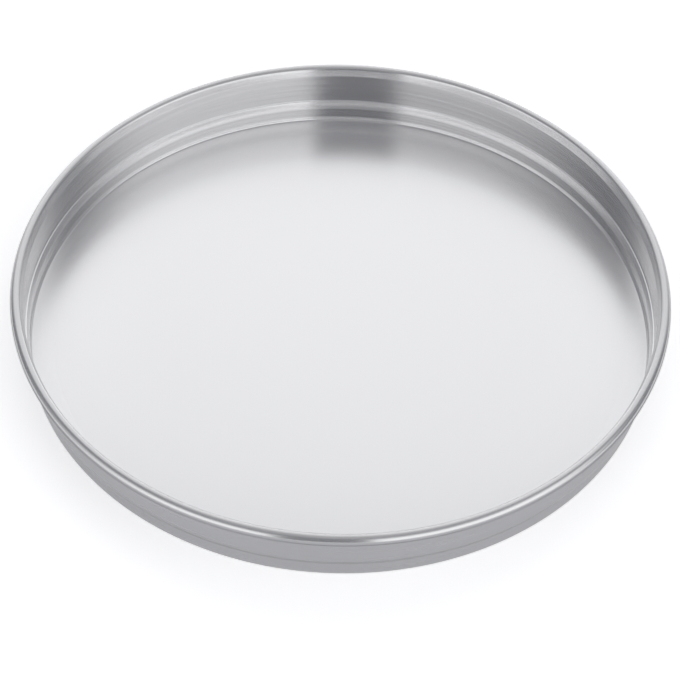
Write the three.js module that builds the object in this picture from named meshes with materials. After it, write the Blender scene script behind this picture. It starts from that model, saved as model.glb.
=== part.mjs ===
// Round cake pan with a stacking step and a wired, rolled rim.
// One sheet of constant gauge forms the base, the stepped wall and the curl of the rim.
// A wire hoop lies inside the curl and keeps the rim round.
// Millimetres, +Z up, origin on the underside at the axis of the pan.

import * as THREE from 'three';

// Trade size, measured inside the pan above the step
const INSIDE_DIAMETER = 355.6;
const INSIDE_DEPTH = 38.1;
const SHEET = 1;

// Corner of the base: a tight bend, a short slope and an easy bend into the wall.
// A lean is measured from upright, outwards. Each bend is given on its tight side.
const CORNER_BEND = 0.7;
const CORNER_LEAN = THREE.MathUtils.degToRad(21);
const CORNER_RUN = 0.9;
const CORNER_END_BEND = 2;

// Stacking step: the lower wall bends into a steep cone and a narrow ledge. It nests in a second pan.
const STACK_CLEARANCE = 1;
const STEP_FOOT_LEVEL = 9.8;
const STEP_FOOT_BEND = 2;
const CONE_LEAN = THREE.MathUtils.degToRad(22.3);
const LEDGE_BEND = 0.2;
const LEDGE_LEAN = THREE.MathUtils.degToRad(55);
const HOLLOW_BEND = 0.25;

// Rolled rim: the wall flares straight to the crown, then curls round the wire
const FLARE_BEND = 0.2;
const FLARE_LEAN = THREE.MathUtils.degToRad(20.5);
const CROWN_BEND = 0.6;
const CROWN_LEAN = THREE.MathUtils.degToRad(52);
const CURL_OFFSET = 3.8;
const CURL_LEAN = THREE.MathUtils.degToRad(312);
const WIRE_DIAMETER = 3.3;
const WIRE_CLEARANCE = 0.51;
const WIRE_END_GAP = 1;

// Facets
const SEGMENTS = 80;
const CORNER_STEPS = 3;
const SMALL_BEND_STEPS = 2;
const CURL_STEPS = 12;
const WIRE_SIDES = 8;

// Radii and levels that follow from the driving sizes
const FLAT = Math.PI / 2;
const upperRadius = INSIDE_DIAMETER / 2;
const lowerRadius = upperRadius - SHEET - STACK_CLEARANCE;
const rimTop = SHEET + INSIDE_DEPTH;
const curlRadius = WIRE_DIAMETER / 2 + WIRE_CLEARANCE + SHEET;
const curlCentreRadius = upperRadius + CURL_OFFSET;
const curlCentreLevel = rimTop - curlRadius;

// How far a bend from one lean to another carries the face, outwards and upwards
function bendShift(radius, from, to) {
  const shift = new THREE.Vector2(Math.cos(from) - Math.cos(to), Math.sin(to) - Math.sin(from));
  return shift.multiplyScalar(Math.sign(to - from) * radius);
}

// The same for a straight run
function runShift(length, lean) {
  return new THREE.Vector2(Math.sin(lean), Math.cos(lean)).multiplyScalar(length);
}

// The inside face of the sheet, followed from the axis to the lip of the curl
class Face {
  constructor() {
    this.points = [{ place: new THREE.Vector2(0, SHEET), lean: FLAT }];
  }

  get end() {
    return this.points[this.points.length - 1];
  }

  run(length) {
    const { place, lean } = this.end;
    this.points.push({ place: place.clone().add(runShift(length, lean)), lean });
    return this;
  }

  bend(radius, to, steps) {
    const { place, lean: from } = this.end;
    for (let i = 1; i <= steps; i += 1) {
      const lean = from + ((to - from) * i) / steps;
      this.points.push({ place: place.clone().add(bendShift(radius, from, lean)), lean });
    }
    return this;
  }
}

// Base, corner, lower wall, step, upper wall, flare and curl. The straight runs fill what the bends leave.
function panFace() {
  const corner = bendShift(CORNER_BEND, FLAT, CORNER_LEAN)
    .add(runShift(CORNER_RUN, CORNER_LEAN))
    .add(bendShift(CORNER_END_BEND, CORNER_LEAN, 0));
  const step = bendShift(STEP_FOOT_BEND + SHEET, 0, CONE_LEAN)
    .add(bendShift(LEDGE_BEND + SHEET, CONE_LEAN, LEDGE_LEAN))
    .add(bendShift(HOLLOW_BEND, LEDGE_LEAN, 0));
  const coneLength = (upperRadius - lowerRadius - step.x) / Math.sin(CONE_LEAN);
  const stepTop = STEP_FOOT_LEVEL + step.y + coneLength * Math.cos(CONE_LEAN);
  const rim = bendShift(FLARE_BEND + SHEET, 0, FLARE_LEAN)
    .add(bendShift(CROWN_BEND + SHEET, FLARE_LEAN, CROWN_LEAN))
    .add(bendShift(curlRadius, CROWN_LEAN, FLAT));
  const flareLength = (CURL_OFFSET - rim.x) / Math.sin(FLARE_LEAN);
  const rimFoot = rimTop - rim.y - flareLength * Math.cos(FLARE_LEAN);
  return new Face()
    .run(lowerRadius - corner.x)
    .bend(CORNER_BEND, CORNER_LEAN, CORNER_STEPS)
    .run(CORNER_RUN)
    .bend(CORNER_END_BEND, 0, SMALL_BEND_STEPS)
    .run(STEP_FOOT_LEVEL - SHEET - corner.y)
    .bend(STEP_FOOT_BEND + SHEET, CONE_LEAN, SMALL_BEND_STEPS)
    .run(coneLength)
    .bend(LEDGE_BEND + SHEET, LEDGE_LEAN, SMALL_BEND_STEPS)
    .bend(HOLLOW_BEND, 0, SMALL_BEND_STEPS)
    .run(rimFoot - stepTop)
    .bend(FLARE_BEND + SHEET, FLARE_LEAN, SMALL_BEND_STEPS)
    .run(flareLength)
    .bend(CROWN_BEND + SHEET, CROWN_LEAN, SMALL_BEND_STEPS)
    .bend(curlRadius, CURL_LEAN, CURL_STEPS);
}

// The closed section of the sheet: out along the back, then home along the face
function sheetSection(face) {
  const back = face.points.map(({ place, lean }) => {
    const inwards = new THREE.Vector2(Math.cos(lean), -Math.sin(lean)).multiplyScalar(SHEET);
    return place.clone().add(inwards);
  });
  const front = face.points.map(({ place }) => place).reverse();
  return [...back, ...front];
}

// The pan itself, spun round its axis
function panShell() {
  const geometry = new THREE.LatheGeometry(sheetSection(panFace()), SEGMENTS);
  geometry.rotateX(Math.PI / 2);
  const aluminium = new THREE.MeshStandardMaterial({ color: 0xd9dadd, roughness: 0.35, metalness: 1 });
  const mesh = new THREE.Mesh(geometry, aluminium);
  mesh.name = 'pan_shell';
  return mesh;
}

// The line that the rim wire is bent to: a circle left open at its butt joint
class HoopLine extends THREE.Curve {
  constructor(radius, endGap) {
    super();
    this.radius = radius;
    this.gapAngle = endGap / radius;
  }

  getPoint(t, target = new THREE.Vector3()) {
    const angle = this.gapAngle / 2 + t * (2 * Math.PI - this.gapAngle);
    return target.set(this.radius * Math.cos(angle), this.radius * Math.sin(angle), 0);
  }
}

// Steel wire in the curl, with its two ends butted and not welded
function rimWire() {
  const section = new THREE.Shape();
  section.absarc(0, 0, WIRE_DIAMETER / 2, 0, 2 * Math.PI);
  const geometry = new THREE.ExtrudeGeometry(section, {
    curveSegments: WIRE_SIDES / 2,
    steps: SEGMENTS,
    extrudePath: new HoopLine(curlCentreRadius, WIRE_END_GAP),
  });
  const steel = new THREE.MeshStandardMaterial({ color: 0x9a9a98, roughness: 0.45, metalness: 1 });
  const mesh = new THREE.Mesh(geometry, steel);
  mesh.name = 'rim_wire';
  mesh.position.z = curlCentreLevel;
  return mesh;
}

const pan = new THREE.Group();
pan.name = 'round_cake_pan';
pan.add(panShell(), rimWire());

export default pan;
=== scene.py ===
"""Round cake pan in spun aluminium: the looks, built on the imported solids. Metres, +Z up."""

import math

import bpy
from mathutils import Matrix, Vector


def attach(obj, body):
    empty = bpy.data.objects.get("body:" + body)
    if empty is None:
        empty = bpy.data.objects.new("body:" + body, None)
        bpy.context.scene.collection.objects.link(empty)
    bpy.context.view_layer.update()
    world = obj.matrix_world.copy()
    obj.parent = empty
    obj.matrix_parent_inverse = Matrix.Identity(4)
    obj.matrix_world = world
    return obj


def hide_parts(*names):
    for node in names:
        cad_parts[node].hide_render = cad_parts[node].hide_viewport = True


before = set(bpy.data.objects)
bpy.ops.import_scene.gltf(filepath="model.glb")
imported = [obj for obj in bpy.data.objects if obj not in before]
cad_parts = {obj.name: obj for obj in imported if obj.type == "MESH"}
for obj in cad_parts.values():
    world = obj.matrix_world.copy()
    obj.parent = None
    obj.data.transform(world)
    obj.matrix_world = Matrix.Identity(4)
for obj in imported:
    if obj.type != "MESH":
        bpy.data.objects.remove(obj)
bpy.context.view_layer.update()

MM = 0.001

# Sheet, and the radius of its inside face above and below the stacking step
SHEET = 1.0 * MM
UPPER_RADIUS = 177.8 * MM
LOWER_RADIUS = 175.8 * MM

# A lean is measured from upright, outwards
FLAT = math.radians(90)
UPRIGHT = 0

# Corner of the base: a tight bend, a short slope and an easy bend into the wall
CORNER_BEND = 0.7 * MM
CORNER_LEAN = math.radians(21)
CORNER_RUN = 0.9 * MM
CORNER_END_BEND = 2 * MM

# Stacking step: the lower wall bends into a steep cone, a narrow ledge and a faint groove.
# The inside face is crisp, and the back of the sheet takes easier bends.
STEP_FACE = {
    "step_foot": 9.45 * MM,
    "foot_bend": 8 * MM,
    "ledge_bend": 0.3 * MM,
    "ledge_lean": math.radians(82),
    "ledge_width": 0.25 * MM,
    "groove_bend": 0.25 * MM,
}
STEP_BACK = {
    "step_foot": 8.4 * MM,
    "foot_bend": 6 * MM,
    "ledge_bend": 4 * MM,
    "ledge_lean": math.radians(30),
    "ledge_width": 0.1 * MM,
    "groove_bend": 3 * MM,
}
CONE_LEAN = math.radians(22.3)
GROOVE_LEAN = math.radians(-2)
GROOVE_END_BEND = 40 * MM

# Rolled rim: the wall flares straight to the crown, and curls round the wire.
# The crest of the curl is smooth as far as the side lean.
RIM_TOP = 39.1 * MM
FLARE_BEND = 1.2 * MM
FLARE_LEAN = math.radians(20.5)
CROWN_BEND = 1.6 * MM
CROWN_LEAN = math.radians(52)
CURL_BEND = 3.16 * MM
CURL_CENTRE_RADIUS = 181.6 * MM
CURL_SIDE_LEAN = math.radians(158)
CURL_LEAN = math.radians(312)
WIRE_RADIUS = 1.65 * MM
WIRE_END_GAP = 1.0 * MM

# Mesh density
SEGMENTS = 288
RUN_STEP = {"base": 12 * MM, "fold": 1 * MM, "ledge": 1 * MM, "wall": 3 * MM, "rim": 1 * MM}
BEND_STEP = math.radians(6)
WIRE_SIDES = 16
FLOOR_SIDES = 96
SHARP_ANGLE = math.radians(40)

# Turning lines, the broad bands that they gather in, and the satin grain.
# The lines wander by the drift on their way round, and a high power leaves narrow ridges of them.
LINE_SIZE = 1.3 * MM
LINE_DETAIL = 3
LINE_DRIFT = 1.2 * MM
RIDGE_POWER = 6
BAND_SIZE = 9 * MM
BAND_DETAIL = 2
GRAIN_SIZE = 0.6 * MM
GRAIN_DETAIL = 2

# Range that nearly all of a noise lies in, and nearly all of the sum of two
NOISE_RANGE = (0.3, 0.7)
NOISE_SUM_RANGE = (0.7, 1.3)

# Share of the light that the darkest grains of the satin take away
GRAIN_TONE = 0.05

# A quarter turn spreads the gloss across the turning lines
GLOSS_TURN = 0.25

# Metals
ALUMINIUM = (0.85, 0.85, 0.855)
WALL_ALUMINIUM = (0.645, 0.645, 0.65)
RIM_ALUMINIUM = (0.72, 0.72, 0.725)
# Painted shade: the crest of the curl is darker than the rim of the same sheet, which dims the highlight
# along it
CREST_ALUMINIUM_PAINTED_SHADE = (0.6, 0.6, 0.605)
# Painted shade: the outside of the sheet is darker than its inside, standing in for the dim surroundings
# that it reflects
OUTSIDE_ALUMINIUM_PAINTED_SHADE = (0.42, 0.42, 0.435)
STEEL = (0.6, 0.6, 0.59)

# The middle of the base keeps the even satin of the rolled sheet.
# From the satin radius outwards it is lined by turning, more and more.
SATIN_ROUGHNESS = 0.268
SATIN_RADIUS = 90 * MM
LINED_RADIUS = 178 * MM

# Photograph's camera: focal length in pixels of its 680 pixel frame
FRAME_PIXELS = 680
FOCAL_PIXELS = 2500
SENSOR_WIDTH = 36
CAMERA_ELEVATION = math.radians(47.39)
CAMERA_ROLL = math.radians(1.478)
CAMERA_DISTANCE = 1372.1 * MM
CAMERA_AIM = Vector((0.26 * MM, -43.7 * MM, 37.35 * MM))

# Studio panels in degrees: the middle, then the right side, left side, bottom and top,
# each with the width of its soft edge, and last the brightness
PANELS = (
    (88, (46, 34), (131, 26), (-60, 20), (62, 48), 0.98),
    (88, (60, 20), (118, 20), (-60, 20), (9, 12), 1.5),
    (316, (281, 4), (350, 40), (-60, 20), (50, 44), 1.45),
    (358, (348, 36), (373, 46), (30, 24), (57, 44), 0.9),
    (215, (188, 72), (252, 4), (-60, 20), (42, 44), 1.4),
)
CEILING_EDGE = (75, 40)
CEILING_LEVEL = 0.4
ROOM_LEVEL = 0.235
PANEL_COLOUR = (1.0, 1.0, 1.0)
ROOM_COLOUR = (0.97, 0.98, 1.06)

# The gap keeps the floor out of the plane of the underside
FLOOR_RADIUS = 12.0
FLOOR_GAP = 0.2 * MM
FLOOR_COLOUR = (0.92, 0.92, 0.92)
GLOW_COLOUR = (1.0, 1.0, 1.0)
FLOOR_GLOW = 0.45


# Section of the sheet

def bend_shift(bend, start, end):
    """How far a bend from one lean to another carries the face outwards and upwards."""
    side = math.copysign(bend, end - start)
    out = math.cos(start) - math.cos(end)
    up = math.sin(end) - math.sin(start)
    return side * Vector((out, up))


def run_shift(length, lean):
    return length * Vector((math.sin(lean), math.cos(lean)))


def wall_moves(step_foot, foot_bend, ledge_bend, ledge_lean, ledge_width, groove_bend):
    """The face from the axis to the lip, as bends and straight runs.

    Each move has its zone, its bend radius, or none for a straight run, and the lean or length it goes to.
    """
    corner = bend_shift(CORNER_BEND, FLAT, CORNER_LEAN)
    corner += run_shift(CORNER_RUN, CORNER_LEAN)
    corner += bend_shift(CORNER_END_BEND, CORNER_LEAN, UPRIGHT)
    step = bend_shift(foot_bend, UPRIGHT, CONE_LEAN)
    step += bend_shift(ledge_bend, CONE_LEAN, ledge_lean)
    step += run_shift(ledge_width, ledge_lean)
    step += bend_shift(groove_bend, ledge_lean, GROOVE_LEAN)
    step += bend_shift(GROOVE_END_BEND, GROOVE_LEAN, UPRIGHT)
    cone_length = (UPPER_RADIUS - LOWER_RADIUS - step.x) / math.sin(CONE_LEAN)
    step += run_shift(cone_length, CONE_LEAN)
    rim = bend_shift(FLARE_BEND, UPRIGHT, FLARE_LEAN)
    rim += bend_shift(CROWN_BEND, FLARE_LEAN, CROWN_LEAN)
    rim += bend_shift(CURL_BEND, CROWN_LEAN, FLAT)
    flare_length = (CURL_CENTRE_RADIUS - UPPER_RADIUS - rim.x) / math.sin(FLARE_LEAN)
    rim += run_shift(flare_length, FLARE_LEAN)
    upper_length = RIM_TOP - step_foot - step.y - rim.y
    return (
        ("base", None, LOWER_RADIUS - corner.x),
        ("fold", CORNER_BEND, CORNER_LEAN),
        ("fold", None, CORNER_RUN),
        ("fold", CORNER_END_BEND, UPRIGHT),
        ("wall", None, step_foot - SHEET - corner.y),
        ("fold", foot_bend, CONE_LEAN),
        ("fold", None, cone_length),
        ("ledge", ledge_bend, ledge_lean),
        ("ledge", None, ledge_width),
        ("ledge", groove_bend, GROOVE_LEAN),
        ("wall", GROOVE_END_BEND, UPRIGHT),
        ("wall", None, upper_length),
        ("rim", FLARE_BEND, FLARE_LEAN),
        ("rim", None, flare_length),
        ("crest", CROWN_BEND, CROWN_LEAN),
        ("crest", CURL_BEND, CURL_SIDE_LEAN),
        ("curl", CURL_BEND, CURL_LEAN),
    )


def sheet_face(moves):
    """Points of the face with the lean at each, and the zone of each strip between them."""
    place = Vector((0, SHEET))
    lean = FLAT
    points = [(place, lean)]
    strips = []
    for zone, bend, value in moves:
        if bend is None:
            count = max(1, math.ceil(value / RUN_STEP[zone]))
            path = [(place + run_shift(value * i / count, lean), lean) for i in range(1, count + 1)]
        else:
            count = max(2, math.ceil(abs(value - lean) / BEND_STEP))
            leans = [lean + (value - lean) * i / count for i in range(1, count + 1)]
            path = [(place + bend_shift(bend, lean, each), each) for each in leans]
        points += path
        strips += [zone] * count
        place, lean = path[-1]
    return points, strips


def closed_section(points, strips, rear_points):
    """The whole outline of the sheet: along the face to the lip, and home along the back."""
    front = [place for place, lean in points]
    rear = [place + SHEET * Vector((math.cos(lean), -math.sin(lean))) for place, lean in rear_points]
    zones = strips + ["outside"] * len(rear)
    return front + rear[::-1], zones


# Meshes

def new_object(name, vertices, faces, materials, face_materials):
    mesh = bpy.data.meshes.new(name)
    mesh.from_pydata(vertices, [], faces)
    for material in materials:
        mesh.materials.append(material)
    mesh.polygons.foreach_set("material_index", face_materials)
    mesh.polygons.foreach_set("use_smooth", [True] * len(faces))
    mesh.update()
    mesh.set_sharp_from_angle(angle=SHARP_ANGLE)
    piece = bpy.data.objects.new(name, mesh)
    bpy.context.scene.collection.objects.link(piece)
    return piece


def spun_piece(name, outline, strip_zones, zone_metals):
    """Spins an outline that starts and ends on the axis."""
    order = list(zone_metals)
    vertices = [(0, 0, outline[0].y), (0, 0, outline[-1].y)]
    rings = []
    for place in outline[1:-1]:
        rings.append(len(vertices))
        for i in range(SEGMENTS):
            angle = 2 * math.pi * i / SEGMENTS
            vertices.append((place.x * math.cos(angle), place.x * math.sin(angle), place.y))
    faces = []
    indices = []
    for i in range(SEGMENTS):
        j = (i + 1) % SEGMENTS
        faces.append((0, rings[0] + i, rings[0] + j))
        faces.append((1, rings[-1] + j, rings[-1] + i))
        indices += [order.index(strip_zones[0]), order.index(strip_zones[-1])]
    for a, b, zone in zip(rings, rings[1:], strip_zones[1:-1]):
        for i in range(SEGMENTS):
            j = (i + 1) % SEGMENTS
            faces.append((a + i, b + i, b + j, a + j))
            indices.append(order.index(zone))
    return new_object(name, vertices, faces, list(zone_metals.values()), indices)


def wire_hoop(name, centre, material):
    """The wire in the curl: a round bar bent to a circle, with its ends butted."""
    gap_angle = WIRE_END_GAP / centre.x
    vertices = []
    for i in range(SEGMENTS + 1):
        angle = gap_angle / 2 + (2 * math.pi - gap_angle) * i / SEGMENTS
        for k in range(WIRE_SIDES):
            turn = 2 * math.pi * k / WIRE_SIDES
            radius = centre.x + WIRE_RADIUS * math.cos(turn)
            level = centre.y + WIRE_RADIUS * math.sin(turn)
            vertices.append((radius * math.cos(angle), radius * math.sin(angle), level))
    faces = []
    for i in range(SEGMENTS):
        for k in range(WIRE_SIDES):
            a = i * WIRE_SIDES + k
            b = i * WIRE_SIDES + (k + 1) % WIRE_SIDES
            faces.append((a, a + WIRE_SIDES, b + WIRE_SIDES, b))
    faces.append(tuple(range(WIRE_SIDES)))
    faces.append(tuple(SEGMENTS * WIRE_SIDES + k for k in reversed(range(WIRE_SIDES))))
    return new_object(name, vertices, faces, [material], [0] * len(faces))


# Node graphs

def add(tree, kind, inputs=None, **settings):
    """A node with its settings, and each input either a value or another node's socket."""
    node = tree.nodes.new(kind)
    for name, value in settings.items():
        setattr(node, name, value)
    for key, value in (inputs or {}).items():
        if isinstance(value, bpy.types.NodeSocket):
            tree.links.new(value, node.inputs[key])
        else:
            node.inputs[key].default_value = value
    return node


def calc(tree, operation, *values):
    return add(tree, "ShaderNodeMath", dict(enumerate(values)), operation=operation).outputs[0]


def vector_calc(tree, operation, inputs):
    return add(tree, "ShaderNodeVectorMath", inputs, operation=operation).outputs[0]


def spread(tree, value, from_low, from_high, to_low, to_high, smooth=False):
    inputs = dict(enumerate((value, from_low, from_high, to_low, to_high)))
    kind = "SMOOTHSTEP" if smooth else "LINEAR"
    return add(tree, "ShaderNodeMapRange", inputs, interpolation_type=kind).outputs[0]


def noise(tree, vector, size, detail):
    inputs = {"Vector": vector, "Scale": 1 / size, "Detail": detail}
    return add(tree, "ShaderNodeTexNoise", inputs).outputs[0]


def bump(tree, height, depth, normal=None):
    inputs = {"Height": height, "Strength": 1.0, "Distance": depth}
    if normal is not None:
        inputs["Normal"] = normal
    return add(tree, "ShaderNodeBump", inputs).outputs[0]


def new_material(name):
    material = bpy.data.materials.new(name)
    material.use_nodes = True
    tree = material.node_tree
    tree.nodes.clear()
    return material, tree


def spun_metal(
    name,
    colour,
    roughness,
    anisotropy,
    edge,
    uneven,
    tone,
    line_depth,
    grain_depth,
    metallic=1.0,
    satin_middle=False,
):
    """Metal turned on a lathe: fine lines round the axis over a faint satin grain.

    Edge is the brightness left at a grazing angle, uneven the play of the roughness,
    and tone the share of the light that the dark lines take away.
    """
    material, tree = new_material(name)
    place = add(tree, "ShaderNodeTexCoord").outputs["Object"]
    x, y, z = add(tree, "ShaderNodeSeparateXYZ", {0: place}).outputs
    flat = add(tree, "ShaderNodeCombineXYZ", {0: x, 1: y}).outputs[0]
    radius = add(tree, "ShaderNodeVectorMath", {0: flat}, operation="LENGTH").outputs["Value"]
    facing = vector_calc(tree, "NORMALIZE", {0: flat})
    drift = vector_calc(tree, "SCALE", {0: facing, "Scale": LINE_DRIFT})
    path = add(tree, "ShaderNodeCombineXYZ", {2: calc(tree, "ADD", radius, z)}).outputs[0]
    along = vector_calc(tree, "ADD", {0: drift, 1: path})
    lines = noise(tree, along, LINE_SIZE, LINE_DETAIL)
    bands = noise(tree, along, BAND_SIZE, BAND_DETAIL)
    grain = noise(tree, place, GRAIN_SIZE, GRAIN_DETAIL)
    ridges = calc(tree, "POWER", lines, RIDGE_POWER)

    rough = spread(tree, lines, *NOISE_RANGE, roughness - uneven, roughness + uneven)
    if satin_middle:
        lined = spread(tree, radius, SATIN_RADIUS, LINED_RADIUS, 0, 1, smooth=True)
        anisotropy = calc(tree, "MULTIPLY", lined, anisotropy)
        rough = calc(tree, "ADD", rough, spread(tree, lined, 0, 1, SATIN_ROUGHNESS - roughness, 0))
    tint = spread(tree, calc(tree, "ADD", bands, lines), *NOISE_SUM_RANGE, 1 - tone, 1)
    tint = calc(tree, "MULTIPLY", tint, spread(tree, grain, *NOISE_RANGE, 1 - GRAIN_TONE, 1))
    shader = add(
        tree,
        "ShaderNodeBsdfPrincipled",
        {
            "Base Color": vector_calc(tree, "SCALE", {0: colour, "Scale": tint}),
            "Metallic": metallic,
            "Specular Tint": (edge, edge, edge, 1),
            "Roughness": rough,
            "Anisotropic": anisotropy,
            "Anisotropic Rotation": GLOSS_TURN,
            "Tangent": add(tree, "ShaderNodeTangent", direction_type="RADIAL", axis="Z").outputs[0],
            "Normal": bump(tree, ridges, line_depth, bump(tree, grain, grain_depth)),
        },
    )
    add(tree, "ShaderNodeOutputMaterial", {"Surface": shader.outputs[0]})
    return material


# Studio

def soft_edge(tree, angle, middle, width):
    """Zero to one across a soft edge, given in degrees."""
    low = math.radians(middle - width / 2)
    high = math.radians(middle + width / 2)
    return spread(tree, angle, low, high, 0, 1, smooth=True)


def studio_world():
    """A dim room with soft panels round it. The space between them is what darkens the wall."""
    world = bpy.data.worlds.new("studio")
    world.use_nodes = True
    tree = world.node_tree
    tree.nodes.clear()
    direction = add(tree, "ShaderNodeTexCoord").outputs["Generated"]
    x, y, z = add(tree, "ShaderNodeSeparateXYZ", {0: direction}).outputs
    azimuth = calc(tree, "ARCTAN2", y, x)
    height = calc(tree, "ARCSINE", z)

    light = calc(tree, "MULTIPLY", soft_edge(tree, height, *CEILING_EDGE), CEILING_LEVEL)
    for middle, (right, right_soft), (left, left_soft), bottom, top, level in PANELS:
        offset = calc(tree, "SUBTRACT", azimuth, math.radians(middle))
        offset = calc(tree, "WRAP", offset, math.pi, -math.pi)
        past_right = soft_edge(tree, offset, right - middle, right_soft)
        past_left = soft_edge(tree, offset, left - middle, left_soft)
        across = calc(tree, "SUBTRACT", past_right, past_left)
        upwards = calc(tree, "SUBTRACT", soft_edge(tree, height, *bottom), soft_edge(tree, height, *top))
        panel = calc(tree, "MULTIPLY", across, upwards)
        light = calc(tree, "MULTIPLY_ADD", panel, level, light)
    panels = add(tree, "ShaderNodeBackground", {"Color": (*PANEL_COLOUR, 1), "Strength": light})
    room = add(tree, "ShaderNodeBackground", {"Color": (*ROOM_COLOUR, 1), "Strength": ROOM_LEVEL})
    both = add(tree, "ShaderNodeAddShader", {0: panels.outputs[0], 1: room.outputs[0]})
    add(tree, "ShaderNodeOutputWorld", {"Surface": both.outputs[0]})
    bpy.context.scene.world = world


def pale_floor():
    """A pale floor that keeps the pan's shadow. Its glow shows to the camera and in reflections."""
    bpy.ops.mesh.primitive_circle_add(
        vertices=FLOOR_SIDES, radius=FLOOR_RADIUS, fill_type="NGON", location=(0, 0, -FLOOR_GAP)
    )
    floor = bpy.context.object
    floor.name = "floor"
    material, tree = new_material("pale_floor")
    rays = add(tree, "ShaderNodeLightPath").outputs
    seen = calc(tree, "ADD", rays["Is Camera Ray"], rays["Is Glossy Ray"])
    seen = calc(tree, "ADD", seen, rays["Is Transmission Ray"])
    seen = calc(tree, "MULTIPLY", calc(tree, "MINIMUM", seen, 1), FLOOR_GLOW)
    matt = add(tree, "ShaderNodeBsdfDiffuse", {"Color": (*FLOOR_COLOUR, 1)})
    glow = add(tree, "ShaderNodeEmission", {"Color": (*GLOW_COLOUR, 1), "Strength": seen})
    shader = add(tree, "ShaderNodeAddShader", {0: matt.outputs[0], 1: glow.outputs[0]})
    add(tree, "ShaderNodeOutputMaterial", {"Surface": shader.outputs[0]})
    floor.data.materials.append(material)


def photo_camera():
    data = bpy.data.cameras.new("camera")
    data.sensor_width = SENSOR_WIDTH
    data.lens = SENSOR_WIDTH * FOCAL_PIXELS / FRAME_PIXELS
    data.dof.use_dof = False
    camera = bpy.data.objects.new("camera", data)
    bpy.context.scene.collection.objects.link(camera)
    back = Vector((0, -math.cos(CAMERA_ELEVATION), math.sin(CAMERA_ELEVATION)))
    tilt = Matrix.Rotation(math.pi / 2 - CAMERA_ELEVATION, 4, "X")
    roll = Matrix.Rotation(CAMERA_ROLL, 4, "Z")
    camera.matrix_world = Matrix.Translation(CAMERA_AIM + CAMERA_DISTANCE * back) @ tilt @ roll
    bpy.context.scene.camera = camera


bpy.context.scene.view_settings.view_transform = "Standard"
photo_camera()
studio_world()
pale_floor()

zone_metals = {
    "base": spun_metal(
        "base_satin",
        ALUMINIUM,
        roughness=0.235,
        anisotropy=0.8,
        edge=1.0,
        uneven=0.001,
        tone=0.006,
        line_depth=0.00002 * MM,
        grain_depth=0.0006 * MM,
        metallic=0.78,
        satin_middle=True,
    ),
    "fold": spun_metal(
        "fold_lined",
        RIM_ALUMINIUM,
        roughness=0.197,
        anisotropy=0.815,
        edge=0.95,
        uneven=0.01,
        tone=0.04,
        line_depth=0.03 * MM,
        grain_depth=0.0003 * MM,
        metallic=0.8,
    ),
    # Painted highlight: the narrow ledge takes the brighter base metal, so that it shows as a light line
    # between the cone and the upper wall
    "ledge": spun_metal(
        "ledge_painted_highlight",
        ALUMINIUM,
        roughness=0.197,
        anisotropy=0.815,
        edge=0.95,
        uneven=0.01,
        tone=0.04,
        line_depth=0.03 * MM,
        grain_depth=0.0003 * MM,
        metallic=0.8,
    ),
    "wall": spun_metal(
        "wall_spun",
        WALL_ALUMINIUM,
        roughness=0.15,
        anisotropy=0.8,
        edge=0.95,
        uneven=0.015,
        tone=0.14,
        line_depth=0.3 * MM,
        grain_depth=0.0003 * MM,
    ),
    "rim": spun_metal(
        "rim_smooth",
        RIM_ALUMINIUM,
        roughness=0.185,
        anisotropy=0.8,
        edge=0.6,
        uneven=0.01,
        tone=0.01,
        line_depth=0.001 * MM,
        grain_depth=0.0003 * MM,
        metallic=0.8,
    ),
    # Painted shade: a darker copy of the rim metal, which dims the highlight along the crest
    "crest": spun_metal(
        "crest_smooth_painted_shade",
        CREST_ALUMINIUM_PAINTED_SHADE,
        roughness=0.21,
        anisotropy=0.8,
        edge=0.6,
        uneven=0.01,
        tone=0.01,
        line_depth=0.001 * MM,
        grain_depth=0.0003 * MM,
        metallic=0.8,
    ),
    # Painted shade: the curl takes the darker outside metal, and its low edge brightness darkens it
    # further at grazing angles along the outline of the rim
    "curl": spun_metal(
        "curl_spun_painted_shade",
        OUTSIDE_ALUMINIUM_PAINTED_SHADE,
        roughness=0.26,
        anisotropy=0.8,
        edge=0.3,
        uneven=0.02,
        tone=0.06,
        line_depth=0.02 * MM,
        grain_depth=0.0005 * MM,
    ),
    # Painted shade: the outer wall and underside take the darker outside metal in place of the dim
    # surroundings that they reflect
    "outside": spun_metal(
        "outside_spun_painted_shade",
        OUTSIDE_ALUMINIUM_PAINTED_SHADE,
        roughness=0.26,
        anisotropy=0.8,
        edge=0.9,
        uneven=0.02,
        tone=0.06,
        line_depth=0.02 * MM,
        grain_depth=0.0005 * MM,
    ),
}
wire_metal = spun_metal(
    "wire_steel",
    STEEL,
    roughness=0.4,
    anisotropy=0.3,
    edge=1.0,
    uneven=0.03,
    tone=0.03,
    line_depth=0.004 * MM,
    grain_depth=0.004 * MM,
)

face_points, face_strips = sheet_face(wall_moves(**STEP_FACE))
rear_points = sheet_face(wall_moves(**STEP_BACK))[0]
outline, outline_zones = closed_section(face_points, face_strips, rear_points)
pan = spun_piece("pan_body", outline, outline_zones, zone_metals)
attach(pan, "root")
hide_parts("pan_shell")

lip, lip_lean = face_points[-1]
curl_centre = lip + CURL_BEND * Vector((math.cos(lip_lean), -math.sin(lip_lean)))
wire = wire_hoop("rim_wire_hoop", curl_centre, wire_metal)
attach(wire, "root")
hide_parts("rim_wire")
